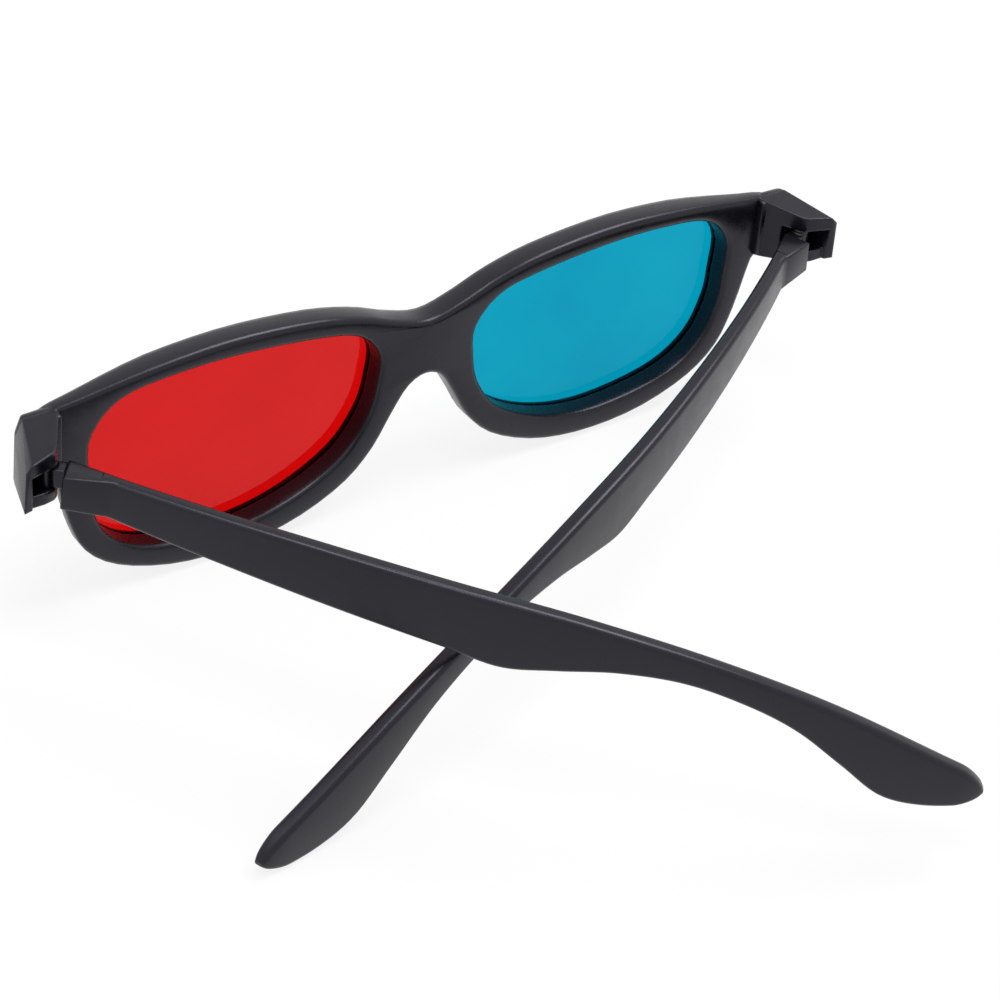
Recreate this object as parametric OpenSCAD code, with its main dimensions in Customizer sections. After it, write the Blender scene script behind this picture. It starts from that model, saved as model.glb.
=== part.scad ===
// Red and cyan viewing glasses: a one-piece black front, two flat tinted lenses held in grooves,
// and two curved temples that fold on vertical pins. They stand half folded, left temple on top.
// Inside the modules X is along the front, Y points ahead of the wearer and Z is up, with the
// origin midway between the lens openings on the rear face. stand() then sets the glasses down.

/* [Front] */
// Width of each lens opening
opening_w = 51.6; // [46:0.2:56]
// Height of each lens opening
opening_h = 32.3; // [28:0.1:38]
// Distance between the two openings at the nose
nose_gap = 18.2; // [16:0.2:22]
// Height of the rim over the opening
rim_top = 3.3; // [2.8:0.1:5]
// Height of the rim under the opening
rim_low = 4.2; // [3.2:0.1:6]
// Width of the rim beside the opening
rim_side = 4; // [3.2:0.1:5]
// Thickness of the front
front_t = 5.4; // [5:0.1:6.5]
// Height of the brow line at the middle
brow_mid = 12.2; // [10:0.1:14]
// Height of the top of the nose notch
notch_top = 1.9; // [0:0.1:4]
// Rounding of the front's rear edges
rear_round = 0.9; // [0.4:0.1:1.2]
// Rounding of the front's leading edges
front_round = 1.8; // [0.8:0.1:1.9]

/* [Lenses] */
// Thickness of a lens
lens_t = 0.8; // [0.6:0.1:1.2]
// Depth of the lens behind the front face
lens_set = 1; // [0.8:0.1:1.4]
// How far a lens reaches into its groove
lens_bite = 0.7; // [0.5:0.1:0.9]

/* [Hinges] */
// Reach of the end piece past the opening
end_reach = 11; // [10:0.1:13]
// How far the end piece runs back from the front
end_back = 8.9; // [8.6:0.1:9.6]
// How far its outer side swings out on the way back
end_flare = 3; // [2.6:0.1:3.4]
// Slope of its top and underside, which draw together towards the back
end_tilt = 9; // [6:0.5:11]
// Chamfer along its top outer edge
end_cut = 1.1; // [0.6:0.1:1.4]
// Height of the underside of the end piece at the pin
end_low = 6.6; // [6.3:0.1:7]
// Thickness of the lower ear at the pin
ear_low = 2.3; // [2.1:0.1:2.6]
// Height of the slot between the ears
slot_h = 4; // [3.7:0.1:4.3]
// Thickness of the upper ear at the pin
ear_top = 2.7; // [2.4:0.1:3.4]
// Wall that closes the slot on the outer side
slot_wall = 1; // [0.8:0.1:1.2]
// Diameter of the hinge pin
pin_d = 1.2; // [1:0.1:1.4]

/* [Temples] */
// Length of a temple from its pin to its tip
temple_l = 145; // [138:0.5:150]
// Thickness of a temple
temple_t = 2.75; // [2.2:0.05:3.2]
// Outward bow of a temple
temple_bow = 9.8; // [8:0.1:11]
// Downward lean of a temple from its hinge
temple_drop = 5; // [4.4:0.1:5.6]
// Rounding of the temple's long edges
temple_round = 0.9; // [0.5:0.05:1]

/* [Pose] */
// Fold of the left temple from straight back
fold_left = 50.3; // [49:0.1:51]
// Fold of the right temple from straight back
fold_right = 69.8; // [69:0.1:72]
// Play of each hinge, taken up where one temple lies over the other
hinge_play = 0.35; // [0.3:0.05:0.8]

/* [Hidden] */
$fn = 48;
// Chamfer of the thin lip in front of a lens
lip_cut = 0.4;
// Clearances round the lens, the pin in the ears, the pin in the eye and the eye in its slot
groove_gap = 0.1;
pin_gap = 0.02;
eye_gap = 0.06;
slot_gap = 0.1;

// Lens opening: centre, half sizes and outline in half sizes, clockwise from the nose side of the top
half_w = opening_w / 2;
half_h = opening_h / 2;
eye_x = nose_gap / 2 + half_w;
opening_shape = [
    [-0.84, 0.79], [-0.56, 0.91], [-0.03, 1], [0.43, 1], [0.79, 0.91], [0.98, 0.59],
    [0.99, 0.17], [0.97, -0.2], [0.85, -0.61], [0.57, -0.885], [0.04, -1], [-0.39, -0.885],
    [-0.75, -0.59], [-0.935, -0.2], [-0.995, 0.17], [-0.995, 0.51]
];
opening_points = [for (p = opening_shape) [eye_x + p.x * half_w, p.y * half_h]];

// Outer line of one half of the front, from the brow's middle round to the nose notch
rim_half_w = half_w + rim_side;
rim_half_h = half_h + rim_low;
brow_top = half_h + rim_top;
brow_rise = brow_top - brow_mid;
end_x = eye_x + half_w + end_reach;
slot_low = end_low + ear_low;
slot_top = slot_low + slot_h;
end_top = slot_top + ear_top;
// Height of the brow where it meets the end piece
brow_end = end_top + 0.9;
brow_fall = brow_top - brow_end;
brow_points = [
    [0, brow_mid], [0.17 * eye_x, brow_mid + 0.2 * brow_rise],
    [0.37 * eye_x, brow_mid + 0.57 * brow_rise], [0.63 * eye_x, brow_mid + 0.85 * brow_rise],
    [1.03 * eye_x, brow_top], [1.43 * eye_x, brow_top - 0.25 * brow_fall],
    [1.78 * eye_x, brow_top - 0.78 * brow_fall], [1.93 * eye_x, brow_end]
];
end_points = [
    [end_x - 1.3, end_top - 0.5], [end_x - 0.6, (end_top + end_low) / 2],
    [end_x - 1.5, end_low + 2], [end_x - 3.8, end_low + 0.1]
];
rim_shape = [
    [0.97, -0.236], [0.87, -0.565], [0.67, -0.8], [0.34, -0.963], [-0.03, -1],
    [-0.37, -0.924], [-0.67, -0.73], [-0.85, -0.48], [-0.97, -0.18]
];
low_points = concat(
    [[end_x - 5.5, end_low - 2]],
    [for (p = rim_shape) [eye_x + p.x * rim_half_w, p.y * rim_half_h]],
    [[3.2, notch_top - 1.4], [0, notch_top]]
);
outer_points = concat(brow_points, end_points, low_points);

// Steps round one half: along the brow, round the end, along the lower rim, up the middle
brow_steps = 24;
end_steps = 6;
low_steps = 34;
mid_steps = 6;
notch_at = brow_steps + end_steps + low_steps;
steps = notch_at + mid_steps;
brow_spans = len(brow_points) - 1;
end_spans = len(end_points) + 1;
low_spans = len(low_points) - 1;
// Places on the opening's outline that face the corners of the outer line
opening_end = 4.6;
opening_low = 6.4;
opening_nose = 14;

// Smooth curve through four points, t from 0 at b to 1 at c
function curve(a, b, c, d, t) =
    b + 0.5 * t * ((c - a) + t * ((2 * a - 5 * b + 4 * c - d) + t * (3 * b - a - 3 * c + d)));
// Point at u on a closed curve through a list of points
function loop_at(p, u) =
    let (n = len(p), i = floor(u))
    curve(p[(i + n - 1) % n], p[i % n], p[(i + 1) % n], p[(i + 2) % n], u - i);
// Point at u on an open curve, with a given point before its start and after its end
function open_at(p, before, after, u) =
    let (n = len(p), i = min(floor(u), n - 2))
    curve(i == 0 ? before : p[i - 1], p[i], p[i + 1], i == n - 2 ? after : p[i + 2], u - i);
// Value at s on a smooth curve through points given in order of s
function graph_at(p, s, i = 0) =
    (i < len(p) - 2 && s > p[i + 1].x) ? graph_at(p, s, i + 1) :
    let (
        a = p[max(i - 1, 0)], b = p[i], c = p[i + 1], d = p[min(i + 2, len(p) - 1)],
        w = c.x - b.x,
        m = w * (c.y - a.y) / (c.x - a.x),
        k = w * (d.y - b.y) / (d.x - b.x),
        t = (s - b.x) / w
    )
    b.y + t * (m + t * ((3 * (c.y - b.y) - 2 * m - k) + t * (2 * (b.y - c.y) + m + k)));

function flip(p) = [-p.x, p.y];
function outer_at(u) =
    open_at(outer_points, flip(outer_points[1]), flip(low_points[low_spans - 1]), u);
outer_line = concat(
    [for (i = [0:brow_steps - 1]) outer_at(i * brow_spans / brow_steps)],
    [for (i = [0:end_steps - 1]) outer_at(brow_spans + i * end_spans / end_steps)],
    [for (i = [0:low_steps]) outer_at(brow_spans + end_spans + i * low_spans / low_steps)],
    [for (i = [1:mid_steps - 1]) [0, notch_top + (brow_mid - notch_top) * i / mid_steps]]
);
opening_line = concat(
    [for (i = [0:brow_steps - 1]) loop_at(opening_points, i * opening_end / brow_steps)],
    [for (i = [0:end_steps - 1])
        loop_at(opening_points, opening_end + i * (opening_low - opening_end) / end_steps)],
    [for (i = [0:low_steps - 1])
        loop_at(opening_points, opening_low + i * (opening_nose - opening_low) / low_steps)],
    [for (i = [0:mid_steps - 1])
        loop_at(opening_points, opening_nose + i * (len(opening_points) - opening_nose) / mid_steps)]
);

// Direction to the left of a line at each of its points
function left_of(d) = [-d.y, d.x] / norm(d);
opening_out = [for (i = [0:steps - 1])
    left_of(opening_line[(i + 1) % steps] - opening_line[(i + steps - 1) % steps])];
outer_out = [for (i = [0:steps - 1])
    i == 0 ? [0, 1] : i == notch_at ? [0, -1] : i > notch_at ? [0, 0] :
    left_of(outer_line[i + 1] - outer_line[i - 1])];

// Section of the front, walked from its rear face over the outer edge, the front face, the
// opening and the lens groove: [true on the outer line, how far outside the line, Y]
groove_front = front_t - lens_set;
groove_rear = groove_front - lens_t;
groove_depth = lens_bite + groove_gap;
function arc_out(r, a) = r * (sin(a) - 1);
front_section = concat(
    [for (a = [0:30:90]) [true, arc_out(rear_round, a), rear_round * (1 - cos(a))]],
    [for (a = [90:-30:0]) [true, arc_out(front_round, a), front_t - front_round * (1 - cos(a))]],
    [[false, lip_cut, front_t], [false, 0, front_t - lip_cut]],
    [[false, 0, groove_front], [false, groove_depth, groove_front]],
    [[false, groove_depth, groove_rear], [false, 0, groove_rear]],
    [for (a = [90:-30:0]) [false, -arc_out(rear_round, a), rear_round * (1 - cos(a))]]
);
outer_rows = len([for (k = front_section) if (k[0]) k]);
rows = len(front_section);

// The front face turns back on its way to the ends
turn_start = eye_x + half_w / 2;
turn_most = 3.3;
function turned(x) = 1 - turn_most / front_t * pow(max(0, (x - turn_start) / (end_x - turn_start)), 1.3);

function on_middle(i) = i == 0 || i >= notch_at;
function front_point(side, i, row) =
    let (
        k = front_section[row],
        p = k[0] ? outer_line[i] + k[1] * outer_out[i] : opening_line[i] + k[1] * opening_out[i]
    )
    [side * p.x, k[0] ? k[2] * turned(p.x) : k[2], p.y];
// Both halves share their points on the middle line
function front_index(half, i, row) =
    (half == 1 && !(on_middle(i) && row < outer_rows) ? steps * rows : 0) + (i % steps) * rows + row;
front_vertices = [for (side = [1, -1]) for (i = [0:steps - 1]) for (row = [0:rows - 1])
    front_point(side, i, row)];
front_faces = [for (half = [0, 1]) for (i = [0:steps - 1]) for (row = [0:rows - 1])
    let (j = (i + 1) % steps, next = (row + 1) % rows)
    if (!(on_middle(i) && on_middle(j) && row < outer_rows - 1))
    let (
        a = front_index(half, i, row),
        b = front_index(half, j, row),
        c = front_index(half, j, next),
        d = front_index(half, i, next)
    )
    for (f = half == 1 ? [[a, b, c], [a, c, d]] : [[c, b, a], [d, c, a]]) f];

// Hinge: place of the pin, the eye that turns on it and the walls round both
eye_wall = 0.8;
ear_wall = 0.7;
pin_cover = 1.2;
pin_recess = 0.2;
// How far a cut runs past the face it opens
bore_over = 1;
pin_r = pin_d / 2;
eye_r = pin_r + eye_wall;
ear_r = eye_r + ear_wall;
pin_x = end_x - 0.95;
pin_y = -5.8;
// The end piece starts this far ahead of the rear face and inside the front's end, and is a
// little wider at its underside
end_front = 0.6;
end_spread = 0.3;
end_set = 0.2;
end_slant = (end_flare + end_set) / (end_back + end_front);
// Outside of the end piece below its chamfer
function end_side(y) = end_x - end_set + end_cut + end_slant * (end_front - y);
// The slot is cut from the inner side and the back
slot_front = pin_y + eye_r + 0.5;
slot_rear = pin_y - 12;
slot_inner = pin_x - 14;
pin_top = end_top - pin_cover;
eye_low = slot_low + slot_gap;
eye_top = slot_top - slot_gap;
// Height at which the temple's middle line leaves the pin
hinge_z = slot_low - 0.2;

// Temple outline: distance from the pin and height over the hinge, top and bottom edges
temple_k = temple_l / 145;
top_line = [
    [6, 4.3], [20, 4.1], [40, 3.5], [60, 2], [80, -0.2], [100, -4.4], [120, -11.2], [145, -23.4]
];
bottom_line = [
    [8, -2.2], [30, -4.7], [60, -8.9], [69, -10.6], [77, -9.5], [86, -8.1], [96, -8.4],
    [106, -11.3], [114, -15.2], [122, -21.2], [129, -26.6], [136, -28.4], [145, -28.2]
];
function temple_top(s) = graph_at(top_line, s / temple_k);
function temple_bottom(s) = graph_at(bottom_line, s / temple_k);
// Outward place of the temple's middle, with a hollow side towards the head
temple_set = -0.9;
function temple_out(s) = temple_set + temple_bow * 4 * s / temple_l * (1 - s / temple_l);
// A temple is thinner at its root and reaches its full thickness here
full_s = 60;
root_part = 0.84;
function thick_part(s) = min(1, root_part + (1 - root_part) * s / full_s);
// The tip is closed by a half round
tip_l = 4.4;
tip_at = temple_l - tip_l;
function tip_part(s) = s <= tip_at ? 1 : sqrt(max(0.03, 1 - pow((s - tip_at) / tip_l, 2)));
function temple_section(s) =
    let (
        part = tip_part(s),
        mid = (temple_top(s) + temple_bottom(s)) / 2,
        half = (temple_top(s) - temple_bottom(s)) / 2 * part,
        flat = temple_t / 2 * thick_part(s) * (0.45 + 0.55 * part),
        r = min(temple_round, 0.8 * half, 0.7 * flat)
    )
    [for (q = [[1, 1], [-1, 1], [-1, -1], [1, -1]]) for (a = [0:30:90])
        let (turn = q.x == q.y ? a : 90 - a)
        [
            s,
            temple_out(s) + q.x * (flat - r + r * cos(turn)),
            mid + q.y * (half - r + r * sin(turn))
        ]];
root_s = 8;
temple_places = concat(
    [for (i = [0:33]) root_s + (tip_at - root_s) * i / 34],
    [for (a = [0:15:90]) tip_at + tip_l * sin(a)]
);
section_size = len(temple_section(root_s));
temple_vertices = [for (s = temple_places) each temple_section(s)];
temple_last = len(temple_places) - 1;
temple_faces = concat(
    [[for (k = [0:section_size - 1]) k]],
    [for (i = [0:temple_last - 1]) for (k = [0:section_size - 1])
        let (
            next = (k + 1) % section_size,
            a = i * section_size + k,
            b = i * section_size + next
        )
        for (f = [[a, a + section_size, b], [b, a + section_size, b + section_size]]) f],
    [[for (k = [section_size - 1:-1:0]) temple_last * section_size + k]]
);

// Root block of the temple: [distance from the pin, inner side, outer side, bottom, top]
block_root = ear_r + 0.4;
block_ends = [[block_root, -eye_r, 3.5, -1.6, 4.15], [8.8, -1.1, 2.6, -2.7, 4]];
block_plate = 0.2;
// Bar between the eye and the block
bar_half = eye_r - 0.15;
bar_drop = 0.6;
bar_l = block_root + 0.6;

// Standing: both rims and the right temple's tail touch the ground
function right_tail(s) =
    let (
        d = temple_drop + hinge_play,
        along = s * cos(d) + temple_bottom(s) * sin(d),
        up = temple_bottom(s) * cos(d) - s * sin(d),
        out = temple_out(s) - temple_t / 2 + temple_round
    )
    [pin_y - along * cos(fold_right) - out * sin(fold_right), hinge_z + up];
rim_foot = [front_t - front_round, min([for (p = outer_line) p.y])];
lean = max([for (s = [0.85 * temple_l:1:tip_at])
    let (p = right_tail(s)) atan((rim_foot.y - p.y) / (rim_foot.x - p.x))]);
stand_z = rim_foot.x * sin(lean) - rim_foot.y * cos(lean);
left_reach = pin_y - temple_l * cos(temple_drop) * cos(fold_left);
// Shift that brings the middle of the whole over the origin
middle_shift = 3.25;
stand_y = -left_reach / 2 - middle_shift;

module stand() {
    translate([0, stand_y, stand_z])
    rotate([-lean, 0, 0])
    children();
}

module at_hinge(side) {
    translate([side * pin_x, pin_y, 0])
    children();
}

// Plan of the end piece, with its outer side moved out
module end_plan(out) {
    polygon([
        [end_x - 5.9, end_front], [end_x - 4.85, -1.7], [end_x - 1.95, -6.7], [end_x - 1.1, -7.5],
        [end_x + end_flare + out, -end_back], [end_x - end_set + out, end_front]
    ]);
}

module end_piece() {
    plate = 0.2;
    hull() {
        translate([0, pin_y, end_top])
        rotate([end_tilt, 0, 0])
        translate([0, -pin_y, -plate])
        linear_extrude(plate)
        end_plan(0);
        translate([0, 0, slot_top + end_cut - plate])
        linear_extrude(plate)
        end_plan(end_cut);
        translate([0, pin_y, end_low])
        rotate([-end_tilt, 0, 0])
        translate([0, -pin_y, 0])
        linear_extrude(plate)
        end_plan(end_cut + end_spread);
    }
}

// Room for the temple's root, seen from above, shut off by a wall on the outer side
module slot_plan() {
    polygon([
        [slot_inner, slot_front], [end_side(slot_front) - slot_wall, slot_front],
        [end_side(slot_rear) - slot_wall, slot_rear], [slot_inner, slot_rear]
    ]);
}

// The slot between the ears, and the room round the lower ear
module end_slot() {
    translate([0, 0, slot_low])
    linear_extrude(slot_h)
    slot_plan();
    translate([0, 0, end_low - bore_over])
    linear_extrude(ear_low + bore_over)
    difference() {
        slot_plan();
        translate([pin_x, pin_y])
        circle(r = ear_r);
        translate([pin_x - ear_r, pin_y])
        square([2 * ear_r, 3 * ear_r]);
        translate([pin_x, pin_y - ear_r])
        square(4 * ear_r);
    }
}

module pin_hole() {
    translate([0, 0, end_low - bore_over])
    cylinder(r = pin_r + pin_gap, h = pin_top + pin_gap - end_low + bore_over);
}

module front_frame() {
    color([0.08, 0.08, 0.1])
    difference() {
        union() {
            polyhedron(front_vertices, front_faces);
            end_piece();
            mirror([1, 0, 0])
            end_piece();
        }
        end_slot();
        mirror([1, 0, 0])
        end_slot();
        at_hinge(1)
        pin_hole();
        at_hinge(-1)
        pin_hole();
    }
}

module lens(side) {
    line = [for (i = [0:steps - 1])
        let (p = opening_line[i] + lens_bite * opening_out[i]) [side * p.x, p.y]];
    translate([0, groove_front, 0])
    rotate([90, 0, 0])
    linear_extrude(lens_t)
    polygon(line);
}

module lens_left_red() {
    color([0.8, 0.1, 0.1, 0.6])
    lens(-1);
}

module lens_right_cyan() {
    color([0, 0.6, 0.75, 0.6])
    lens(1);
}

module block_end(at) {
    translate([at[0], at[1], at[3]])
    cube([block_plate, at[2] - at[1], at[4] - at[3]]);
}

// A right temple along -Y from its pin, before it is folded; the bore stays square to the front
module temple(drop) {
    difference() {
        union() {
            translate([0, 0, hinge_z])
            rotate([drop, 0, 0])
            rotate([0, 0, -90]) {
                polyhedron(temple_vertices, temple_faces);
                hull() {
                    block_end(block_ends[0]);
                    block_end(block_ends[1]);
                }
            }
            translate([0, 0, eye_low])
            cylinder(r = eye_r, h = eye_top - eye_low);
            translate([-bar_half, -bar_l, eye_low])
            cube([2 * bar_half, bar_l, eye_top - eye_low - bar_drop]);
        }
        translate([0, 0, eye_low - bore_over])
        cylinder(r = pin_r + eye_gap, h = eye_top - eye_low + 2 * bore_over);
    }
}

module temple_left() {
    color([0.08, 0.08, 0.1])
    mirror([1, 0, 0])
    at_hinge(1)
    rotate([0, 0, -fold_left])
    temple(temple_drop - hinge_play);
}

module temple_right() {
    color([0.08, 0.08, 0.1])
    at_hinge(1)
    rotate([0, 0, -fold_right])
    temple(temple_drop + hinge_play);
}

module hinge_pin(side) {
    color([0.6, 0.6, 0.62])
    at_hinge(side)
    translate([0, 0, end_low + pin_recess])
    cylinder(r = pin_r, h = pin_top - end_low - pin_recess);
}

module hinge_pin_left() {
    hinge_pin(-1);
}

module hinge_pin_right() {
    hinge_pin(1);
}

stand() front_frame();
stand() lens_left_red();
stand() lens_right_cyan();
stand() temple_left();
stand() temple_right();
stand() hinge_pin_left();
stand() hinge_pin_right();
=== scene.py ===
import math
import bmesh
import bpy
from mathutils import Matrix, Vector


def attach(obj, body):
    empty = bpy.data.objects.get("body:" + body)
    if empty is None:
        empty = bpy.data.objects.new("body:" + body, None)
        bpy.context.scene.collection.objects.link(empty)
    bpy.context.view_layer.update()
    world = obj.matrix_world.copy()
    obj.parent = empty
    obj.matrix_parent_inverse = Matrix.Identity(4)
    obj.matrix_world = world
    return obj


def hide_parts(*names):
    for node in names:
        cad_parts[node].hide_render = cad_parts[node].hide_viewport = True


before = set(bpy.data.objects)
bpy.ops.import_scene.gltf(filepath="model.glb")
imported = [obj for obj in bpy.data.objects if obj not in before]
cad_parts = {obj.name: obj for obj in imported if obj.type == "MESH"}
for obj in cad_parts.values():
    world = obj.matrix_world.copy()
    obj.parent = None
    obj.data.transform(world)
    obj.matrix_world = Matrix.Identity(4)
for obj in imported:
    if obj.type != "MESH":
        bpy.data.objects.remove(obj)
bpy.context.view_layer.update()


def add_to_scene(name, data):
    obj = bpy.data.objects.new(name, data)
    bpy.context.scene.collection.objects.link(obj)
    return obj


def facing(at, target):
    """Placement at a point, looking at a target."""
    return Matrix.Translation(at) @ (target - at).to_track_quat("-Z", "Y").to_matrix().to_4x4()


# Camera of the photograph, in metres

CAMERA_AT = Vector((-0.23751, -0.20915, 0.35037))
CAMERA_TARGET = Vector((0.01734, 0.03964, -0.00756))
CAMERA_ROLL = math.radians(16.85)
CAMERA_LENS, CAMERA_SENSOR = 108.3, 36.0
CAMERA_CLIP = 0.01


def add_camera():
    data = bpy.data.cameras.new("camera")
    data.lens = CAMERA_LENS
    data.sensor_width = CAMERA_SENSOR
    data.clip_start = CAMERA_CLIP
    camera = add_to_scene("camera", data)
    camera.matrix_world = facing(CAMERA_AT, CAMERA_TARGET) @ Matrix.Rotation(CAMERA_ROLL, 4, "Z")
    bpy.context.scene.camera = camera


# Smoothing of the CAD nodes

SMOOTH_ANGLE = math.radians(36)
WELD = 1e-6
BEVEL_ANGLE = math.radians(40)
BEVEL_STEPS = 2


def smoothing_group():
    """Geometry nodes that join a node's split corners and shade it smooth up to an angle."""
    tree = bpy.data.node_groups.new("smooth_by_angle", "GeometryNodeTree")
    for way in ("INPUT", "OUTPUT"):
        tree.interface.new_socket("Geometry", in_out=way, socket_type="NodeSocketGeometry")
    new, link = tree.nodes.new, tree.links.new
    weld = new("GeometryNodeMergeByDistance")
    weld.inputs["Distance"].default_value = WELD
    faces = new("GeometryNodeSetShadeSmooth")
    faces.domain = "FACE"
    edges = new("GeometryNodeSetShadeSmooth")
    edges.domain = "EDGE"
    edges.inputs["Shade Smooth"].default_value = False
    sharp = new("FunctionNodeCompare")
    sharp.data_type = "FLOAT"
    sharp.operation = "GREATER_THAN"
    sharp.inputs[1].default_value = SMOOTH_ANGLE
    link(new("GeometryNodeInputMeshEdgeAngle").outputs["Unsigned Angle"], sharp.inputs[0])
    link(sharp.outputs["Result"], edges.inputs["Selection"])
    chain = (new("NodeGroupInput"), weld, faces, edges, new("NodeGroupOutput"))
    for a, b in zip(chain, chain[1:]):
        link(a.outputs["Geometry"], b.inputs["Geometry"])
    return tree


def soften(obj, group, width):
    """Shades the curves of a node smooth and rounds its sharp edges by width."""
    obj.modifiers.new("smooth", "NODES").node_group = group
    if width:
        bevel = obj.modifiers.new("edges", "BEVEL")
        bevel.width = width
        bevel.segments = BEVEL_STEPS
        bevel.limit_method = "ANGLE"
        bevel.angle_limit = BEVEL_ANGLE
        bevel.harden_normals = True


# Materials

# Part of a noise's values that is stretched over a range
NOISE_LOW, NOISE_HIGH = 0.3, 0.7
# Cosines of the turn where an edge starts and is full
EDGE_START, EDGE_FULL = 0.99, 0.85
# Sizes of the noises, in features per metre
CLOUDS, EDGE_HIGHLIGHT_AND_RUBS, PATCHES, WAVES, GRAIN = 60, 220, 350, 90, 4200
DYE_CLOUDS, DYE_PATCHES, DYE_WAVES = 45, 160, 38
STEEL_CLOUDS, STEEL_PATCHES, STEEL_MARKS = 900, 2500, 6000


class Nodes:
    """A new material with its node tree at hand."""

    def __init__(self, name):
        self.material = bpy.data.materials.new(name)
        self.material.use_nodes = True
        self.tree = self.material.node_tree
        self.shader = self.tree.nodes["Principled BSDF"]
        self.place = self.add("ShaderNodeTexCoord").outputs["Object"]

    def add(self, kind, **values):
        node = self.tree.nodes.new(kind)
        for key, value in values.items():
            setattr(node, key, value)
        return node

    def link(self, a, b):
        self.tree.links.new(a, b)

    def feed(self, value, socket):
        """Links a value to a socket of the shader."""
        self.link(value, self.shader.inputs[socket])

    def set(self, **values):
        for key, value in values.items():
            self.shader.inputs[key.replace("_", " ")].default_value = value

    def noise(self, scale, detail=3.0):
        node = self.add("ShaderNodeTexNoise")
        node.inputs["Scale"].default_value = scale
        node.inputs["Detail"].default_value = detail
        self.link(self.place, node.inputs["Vector"])
        return node.outputs["Fac"]

    def ramp(self, value, low, high):
        """Colour between low and high."""
        node = self.add("ShaderNodeValToRGB")
        stops = ((NOISE_LOW, low), (NOISE_HIGH, high))
        for element, (at, colour) in zip(node.color_ramp.elements, stops):
            element.position = at
            element.color = (*colour, 1)
        self.link(value, node.inputs["Fac"])
        return node.outputs["Color"]

    def span(self, value, low, high):
        """Number between low and high."""
        node = self.add("ShaderNodeMapRange")
        node.inputs["From Min"].default_value = NOISE_LOW
        node.inputs["From Max"].default_value = NOISE_HIGH
        node.inputs["To Min"].default_value = low
        node.inputs["To Max"].default_value = high
        self.link(value, node.inputs["Value"])
        return node.outputs["Result"]

    def times(self, a, share):
        node = self.add("ShaderNodeMath", operation="MULTIPLY")
        self.link(a, node.inputs[0])
        node.inputs[1].default_value = share
        return node.outputs["Value"]

    def combine(self, operation, a, b):
        node = self.add("ShaderNodeMath", operation=operation)
        self.link(a, node.inputs[0])
        self.link(b, node.inputs[1])
        return node.outputs["Value"]

    def blend(self, share, colour, other):
        node = self.add("ShaderNodeMix", data_type="RGBA")
        self.link(share, node.inputs["Factor"])
        self.link(colour, node.inputs[6])
        node.inputs[7].default_value = (*other, 1)
        return node.outputs[2]

    def rounded(self, radius):
        """Normal of the piece as if its edges were rounded."""
        node = self.add("ShaderNodeBevel", samples=8)
        node.inputs["Radius"].default_value = radius
        return node.outputs["Normal"]

    def edges(self, rounded):
        """1 along the sharp edges of the piece, 0 on its faces."""
        turn = self.add("ShaderNodeVectorMath", operation="DOT_PRODUCT")
        self.link(rounded, turn.inputs[0])
        self.link(self.add("ShaderNodeNewGeometry").outputs["Normal"], turn.inputs[1])
        node = self.add("ShaderNodeMapRange")
        node.inputs["From Min"].default_value = EDGE_START
        node.inputs["From Max"].default_value = EDGE_FULL
        self.link(turn.outputs["Value"], node.inputs["Value"])
        return node.outputs["Result"]

    def bump(self, height, strength, distance, before=None):
        node = self.add("ShaderNodeBump")
        node.inputs["Strength"].default_value = strength
        node.inputs["Distance"].default_value = distance
        self.link(height, node.inputs["Height"])
        if before is not None:
            self.link(before, node.inputs["Normal"])
        return node.outputs["Normal"]


def black_plastic(name, dark, pale, rough):
    """Satin moulded plastic: clouds, grain, uneven gloss, edges painted paler as a painted
    highlight together with edge wear, and smoother.
    """
    n = Nodes(name)
    rounded = n.rounded(EDGE_ROUND)
    # Mask of the edges painted paler: a painted highlight along the edges together with edge
    # wear, broken up by noise
    highlit_and_worn = n.combine("MULTIPLY", n.edges(rounded), n.span(n.noise(EDGE_HIGHLIGHT_AND_RUBS), 0.2, 1.0))
    n.feed(n.blend(highlit_and_worn, n.ramp(n.noise(CLOUDS), dark, pale), EDGE_HIGHLIGHT_AND_WEAR), "Base Color")
    gloss = n.span(n.noise(PATCHES), rough - 0.03, rough + 0.04)
    n.feed(n.combine("SUBTRACT", gloss, n.times(highlit_and_worn, EDGE_SMOOTHER)), "Roughness")
    waves = n.bump(n.noise(WAVES, detail=1), strength=0.1, distance=0.0004, before=rounded)
    grain = n.bump(n.noise(GRAIN, detail=2), strength=0.06, distance=0.0001, before=waves)
    n.feed(grain, "Normal")
    n.set(IOR=PLASTIC_IOR, Specular_Tint=BLUISH)
    return n.material


def tinted_plastic(name, thin, deep, ior, gloss):
    """Clear dyed sheet: even dye with faint clouds and a thinly glossy surface."""
    n = Nodes(name)
    n.feed(n.ramp(n.noise(DYE_CLOUDS, detail=2), deep, thin), "Base Color")
    n.feed(n.span(n.noise(DYE_PATCHES), 0.02, 0.05), "Roughness")
    n.feed(n.bump(n.noise(DYE_WAVES, detail=1), strength=0.05, distance=0.0004), "Normal")
    n.set(IOR=ior, Specular_Tint=gloss, Transmission_Weight=1.0)
    return n.material


def pin_steel(name):
    """Steel with fine marks."""
    n = Nodes(name)
    n.feed(n.ramp(n.noise(STEEL_CLOUDS), STEEL_DARK, STEEL_PALE), "Base Color")
    n.feed(n.span(n.noise(STEEL_PATCHES), 0.25, 0.4), "Roughness")
    n.feed(n.bump(n.noise(STEEL_MARKS, detail=2), strength=0.1, distance=0.00005), "Normal")
    n.set(Metallic=1.0)
    return n.material


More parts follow.
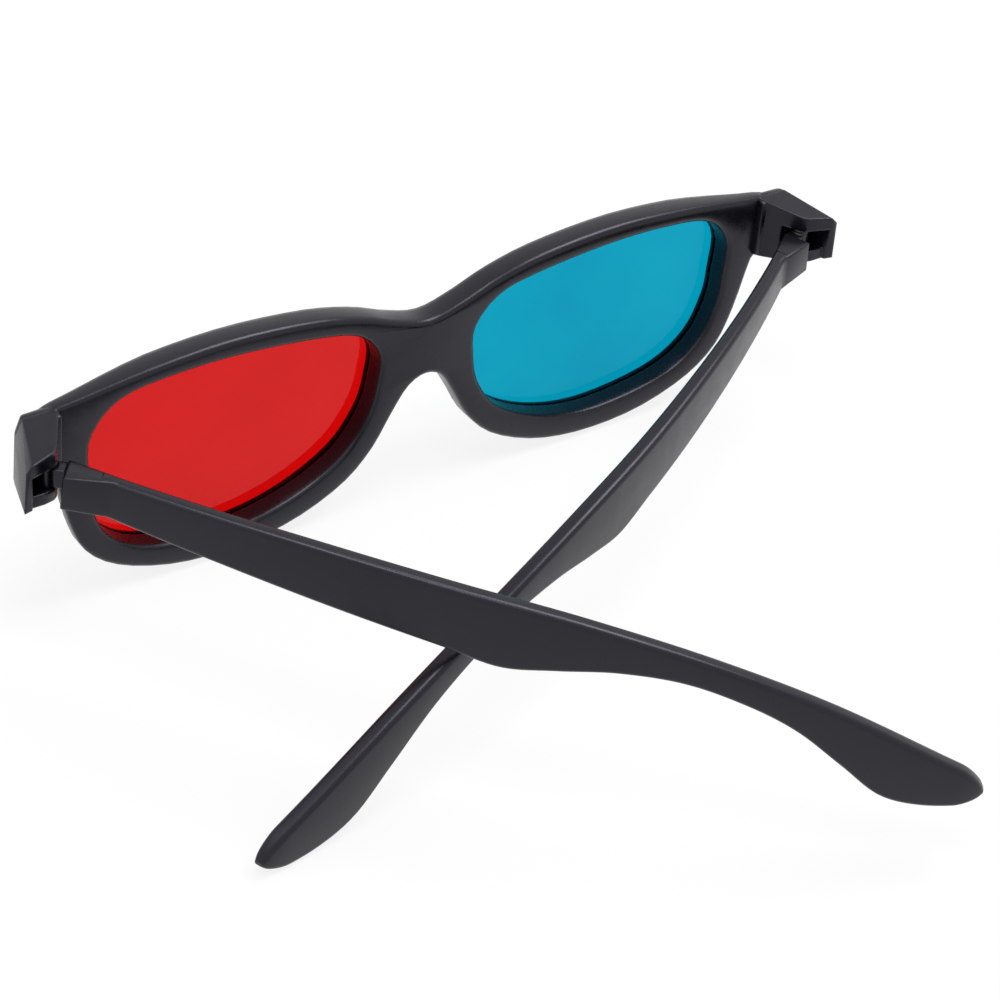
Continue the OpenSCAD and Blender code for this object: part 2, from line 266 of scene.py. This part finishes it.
EDGE_ROUND = 0.0005
PLASTIC_IOR = 1.42
BLUISH = (0.86, 0.84, 1.0, 1)
# Paler colour painted along the edges: a painted highlight together with edge wear
EDGE_HIGHLIGHT_AND_WEAR = (0.016, 0.0155, 0.019)
EDGE_SMOOTHER = 0.06
FRONT_DARK, FRONT_PALE = (0.0030, 0.0026, 0.0042), (0.0046, 0.0041, 0.0062)
TEMPLE_DARK, TEMPLE_PALE = (0.0032, 0.0028, 0.0046), (0.0050, 0.0045, 0.0068)
RED_THIN, RED_DEEP = (0.66, 0.002, 0.002), (0.61, 0.001, 0.001)
RED_GLOSS = (0.8, 0.8, 0.8, 1)
CYAN_THIN, CYAN_DEEP = (0.0008, 0.36, 0.52), (0.0006, 0.31, 0.48)
CYAN_GLOSS = (0.0, 0.9, 1.0, 1)
STEEL_DARK, STEEL_PALE = (0.42, 0.42, 0.43), (0.6, 0.6, 0.62)

front_black = black_plastic("front_black", FRONT_DARK, FRONT_PALE, rough=0.27)
temple_black = black_plastic("temple_black", TEMPLE_DARK, TEMPLE_PALE, rough=0.29)
lens_red = tinted_plastic("lens_red", RED_THIN, RED_DEEP, ior=1.3, gloss=RED_GLOSS)
lens_cyan = tinted_plastic("lens_cyan", CYAN_THIN, CYAN_DEEP, ior=1.2, gloss=CYAN_GLOSS)
steel = pin_steel("pin_steel")

# Material and rounding of the edges of each CAD node that stays
FRONT_EDGE, PIN_EDGE = 0.00012, 0.00008
FINISH = {
    "front_frame": (front_black, FRONT_EDGE),
    "lens_left_red": (lens_red, 0),
    "lens_right_cyan": (lens_cyan, 0),
    "hinge_pin_left": (steel, PIN_EDGE),
    "hinge_pin_right": (steel, PIN_EDGE),
}


def dress_nodes():
    group = smoothing_group()
    for name, (material, width) in FINISH.items():
        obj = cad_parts[name]
        obj.data.materials.clear()
        obj.data.materials.append(material)
        soften(obj, group, width)


# Temples: the lines of the solids they replace in finer steps, with rounded root blocks that run
# into the bars. Millimetres in the glasses' own frame, rear face of the front at Y 0, before the
# glasses lean.

LEAN = math.radians(12.2822)
STAND = Vector((0, 45.7844, 20.6851))
METRES = 0.001
PIN = Vector((70.75, -5.8, 0))
# Fold and downward lean of each temple, in degrees
SWING = {"left": (50.3, 4.65), "right": (69.8, 5.35)}
HINGE_Z = 8.7
TEMPLE_L, TEMPLE_T, TEMPLE_ROUND = 145.0, 2.75, 0.9
TEMPLE_BOW, TEMPLE_SET = 9.8, -0.9
# Where the bar is at full thickness, and its share of that at the pin
FULL_S, ROOT_PART = 60.0, 0.84
# Start of the bar and length of its rounded tip
ROOT_S, TIP_L = 8.0, 4.4
TIP_AT = TEMPLE_L - TIP_L
# Square of the height that is left at the tip, and share of the thickness that never tapers
TIP_LEAST, TIP_FLAT = 0.03, 0.45
# Most rounding as a share of half the height and half the thickness
ROUND_OF_HEIGHT, ROUND_OF_THICK = 0.8, 0.7
# Steps along the bar, and degrees of a step round its corners and its tip
RUN_STEPS, CORNER_STEP, TIP_STEP = 110, 15, 6
# Distance from the pin and height over the hinge of the top and bottom edges
TOP_LINE = [
    (6, 4.3), (20, 4.1), (40, 3.5), (60, 2), (80, -0.2), (100, -4.4), (120, -11.2), (145, -23.4),
]
BOTTOM_LINE = [
    (8, -2.2), (30, -4.7), (60, -8.9), (69, -10.6), (77, -9.5), (86, -8.1), (96, -8.4),
    (106, -11.3), (114, -15.2), (122, -21.2), (129, -26.6), (136, -28.4), (145, -28.2),
]
# Ends of the root block: distance from the pin, inner side, outer side, bottom, top
BLOCK_ENDS = ((2.5, -1.4, 3.5, -1.6, 4.15), (10.5, 0.65, 2.36, -2.32, 4.1))
BLOCK_ROUND = 0.35
# Ring round the pin, and the short bar from it to the root block
EYE_R, BORE_R, EYE_LOW, EYE_TOP, EYE_STEPS = 1.4, 0.66, 9.0, 12.8, 40
BAR_HALF, BAR_L, BAR_TOP, BAR_ROUND = 1.25, 3.1, 12.2, 0.15
ROUND_STEPS = 3


def graph_at(line, s):
    """Height at s on a smooth curve through the points of a line."""
    last = len(line) - 1
    i = max(k for k in range(last) if k == 0 or line[k][0] < s)
    a, b, c, d = line[max(i - 1, 0)], line[i], line[i + 1], line[min(i + 2, last)]
    width, rise = c[0] - b[0], c[1] - b[1]
    m = width * (c[1] - a[1]) / (c[0] - a[0])
    k = width * (d[1] - b[1]) / (d[0] - b[0])
    t = (s - b[0]) / width
    return b[1] + t * (m + t * ((3 * rise - 2 * m - k) + t * (m + k - 2 * rise)))


def temple_ring(s):
    """Rounded section of a temple at s from its pin: distance, outward place, height."""
    part = math.sqrt(max(TIP_LEAST, 1 - max(0, (s - TIP_AT) / TIP_L) ** 2))
    top, bottom = graph_at(TOP_LINE, s), graph_at(BOTTOM_LINE, s)
    mid, half = (top + bottom) / 2, (top - bottom) / 2 * part
    thick = min(1, ROOT_PART + (1 - ROOT_PART) * s / FULL_S)
    flat = TEMPLE_T / 2 * thick * (TIP_FLAT + (1 - TIP_FLAT) * part)
    r = min(TEMPLE_ROUND, ROUND_OF_HEIGHT * half, ROUND_OF_THICK * flat)
    out = TEMPLE_SET + TEMPLE_BOW * 4 * s / TEMPLE_L * (1 - s / TEMPLE_L)
    ring = []
    for x, y in ((1, 1), (-1, 1), (-1, -1), (1, -1)):
        for a in range(0, 91, CORNER_STEP):
            turn = math.radians(a if x == y else 90 - a)
            across = flat - r + r * math.cos(turn)
            up = half - r + r * math.sin(turn)
            ring.append((s, out + x * across, mid + y * up))
    return ring


def skin(mesh, rings, closed=False):
    """Quads between neighbouring rings, which end in flat caps or join up when closed."""
    rows = [[mesh.verts.new(p) for p in ring] for ring in rings]
    for a, b in zip(rows, rows[1:] + rows[:1] if closed else rows[1:]):
        for k in range(len(a)):
            mesh.faces.new((a[k - 1], a[k], b[k], b[k - 1]))
    if not closed:
        mesh.faces.new(rows[0])
        mesh.faces.new(rows[-1])
    return rows


def rounded_skin(mesh, rings, radius):
    """Solid between rings with all its edges rounded."""
    rows = skin(mesh, rings)
    edges = {e: None for row in rows for v in row for e in v.link_edges}
    bmesh.ops.bevel(mesh, geom=list(edges), offset=radius, segments=ROUND_STEPS, profile=0.5,
                    affect="EDGES")


def rounded_block(mesh, ends, radius):
    """Block between two ends, each given as X, then low and high Y, low and high Z."""
    rings = [[(x, y0, z0), (x, y1, z0), (x, y1, z1), (x, y0, z1)] for x, y0, y1, z0, z1 in ends]
    rounded_skin(mesh, rings, radius)


def circle(radius, z):
    turns = [2 * math.pi * k / EYE_STEPS for k in range(EYE_STEPS)]
    return [(radius * math.cos(t), radius * math.sin(t), z) for t in turns]


def add_piece(mesh, name, side, material, body):
    """Stands a piece of the right side, or its mirror image, in the scene."""
    mirror = Matrix.Diagonal((-1 if side == "left" else 1, 1, 1, 1))
    stand = Matrix.Translation(STAND) @ Matrix.Rotation(-LEAN, 4, "X")
    mesh.transform(Matrix.Scale(METRES, 4) @ stand @ mirror)
    bmesh.ops.recalc_face_normals(mesh, faces=mesh.faces)
    data = bpy.data.meshes.new(name)
    mesh.to_mesh(data)
    mesh.free()
    data.shade_smooth()
    data.set_sharp_from_angle(angle=SMOOTH_ANGLE)
    data.materials.append(material)
    piece = add_to_scene(name, data)
    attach(piece, body)
    return piece


def add_temple(side):
    fold, drop = (math.radians(angle) for angle in SWING[side])
    mesh = bmesh.new()
    places = [ROOT_S + (TIP_AT - ROOT_S) * i / RUN_STEPS for i in range(RUN_STEPS)]
    places += [TIP_AT + TIP_L * math.sin(math.radians(a)) for a in range(0, 91, TIP_STEP)]
    skin(mesh, [temple_ring(s) for s in places])
    rounded_block(mesh, BLOCK_ENDS, BLOCK_ROUND)
    along = Matrix.Rotation(drop, 4, "X") @ Matrix.Rotation(math.radians(-90), 4, "Z")
    mesh.transform(Matrix.Translation((0, 0, HINGE_Z)) @ along)
    bar = [(x, -BAR_L, 0, EYE_LOW, BAR_TOP) for x in (-BAR_HALF, BAR_HALF)]
    rounded_block(mesh, bar, BAR_ROUND)
    corners = ((EYE_R, EYE_LOW), (EYE_R, EYE_TOP), (BORE_R, EYE_TOP), (BORE_R, EYE_LOW))
    skin(mesh, [circle(radius, z) for radius, z in corners], closed=True)
    mesh.transform(Matrix.Translation(PIN) @ Matrix.Rotation(-fold, 4, "Z"))
    name = "temple_" + side
    piece = add_piece(mesh, name + "_moulded", side, temple_black, side + "_temple")
    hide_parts(name)


# Corners that carry the ends of the front into the end pieces: X and Z outlines at four depths

CORNER_RINGS = (
    (-1.2, ((65.8, 16.1), (71.4, 16.1), (72.6, 14.0), (72.9, 6.2), (65.8, 6.2))),
    (0.7, ((65.8, 16.62), (71.52, 16.62), (72.65, 14.0), (72.95, 5.58), (65.8, 5.58))),
    (1.5, ((65.8, 16.6), (71.3, 16.5), (72.3, 13.9), (72.5, 6.0), (65.8, 6.0))),
    (2.1, ((65.8, 16.3), (70.9, 16.1), (71.7, 13.7), (71.8, 6.7), (65.8, 6.7))),
)
CORNER_ROUND = 0.3


def add_corner(side):
    mesh = bmesh.new()
    rings = [[(x, y, z) for x, z in outline] for y, outline in CORNER_RINGS]
    rounded_skin(mesh, rings, CORNER_ROUND)
    add_piece(mesh, "front_corner_" + side, side, front_black, "front")


# Floor, light and background

FLOOR_HALF = 3.0
FLOOR_COLOUR = (0.86, 0.86, 0.86, 1)
# Share of the seen floor that is lit by the lamps and takes shadows, the rest being plain white
FLOOR_SHADE = 0.15
# Strength of the white surroundings as light, and as they are seen and mirrored
ROOM_LIGHT, ROOM_SEEN = 0.5, 1.0
# Place, width and power of the lamps, which point at the origin
LAMPS = {
    "key": ((0.45, 0.12, 0.88), 0.5, 5),
    "edges": ((-0.16, 0.02, 0.98), 0.4, 3),
    "fill": ((-0.8, 0.2, 0.8), 0.8, 1.5),
}


def seen_mask(tree):
    """1 for rays from the camera, mirror-like reflections and clear pieces, 0 for other light."""
    path = tree.nodes.new("ShaderNodeLightPath")
    total = path.outputs["Is Camera Ray"]
    for name in ("Is Glossy Ray", "Is Transmission Ray"):
        more = tree.nodes.new("ShaderNodeMath")
        more.operation = "MAXIMUM"
        tree.links.new(total, more.inputs[0])
        tree.links.new(path.outputs[name], more.inputs[1])
        total = more.outputs["Value"]
    return total


def add_floor():
    mesh = bpy.data.meshes.new("floor")
    h = FLOOR_HALF
    mesh.from_pydata([(-h, -h, 0), (h, -h, 0), (h, h, 0), (-h, h, 0)], [], [(0, 1, 2, 3)])
    material = bpy.data.materials.new("floor_white")
    material.use_nodes = True
    tree = material.node_tree
    tree.nodes.remove(tree.nodes["Principled BSDF"])
    matte = tree.nodes.new("ShaderNodeBsdfDiffuse")
    matte.inputs["Color"].default_value = FLOOR_COLOUR
    glow = tree.nodes.new("ShaderNodeEmission")
    mix = tree.nodes.new("ShaderNodeMixShader")
    share = tree.nodes.new("ShaderNodeMath")
    share.operation = "MULTIPLY"
    share.inputs[1].default_value = 1 - FLOOR_SHADE
    link = tree.links.new
    link(seen_mask(tree), share.inputs[0])
    link(share.outputs["Value"], mix.inputs["Fac"])
    link(matte.outputs["BSDF"], mix.inputs[1])
    link(glow.outputs["Emission"], mix.inputs[2])
    link(mix.outputs["Shader"], tree.nodes["Material Output"].inputs["Surface"])
    mesh.materials.append(material)
    add_to_scene("floor", mesh)


def add_world():
    world = bpy.data.worlds.new("studio")
    world.use_nodes = True
    bpy.context.scene.world = world
    tree = world.node_tree
    back = tree.nodes["Background"]
    back.inputs["Color"].default_value = (1, 1, 1, 1)
    level = tree.nodes.new("ShaderNodeMapRange")
    level.inputs["To Min"].default_value = ROOM_LIGHT
    level.inputs["To Max"].default_value = ROOM_SEEN
    tree.links.new(seen_mask(tree), level.inputs["Value"])
    tree.links.new(level.outputs["Result"], back.inputs["Strength"])


def add_lamps():
    for name, (at, size, power) in LAMPS.items():
        data = bpy.data.lights.new(name, "AREA")
        data.shape = "DISK"
        data.size = size
        data.energy = power
        add_to_scene(name, data).matrix_world = facing(Vector(at), Vector())


add_camera()
dress_nodes()
for side in SWING:
    add_temple(side)
    add_corner(side)
add_floor()
add_world()
add_lamps()

bpy.context.scene.view_settings.view_transform = "Standard"
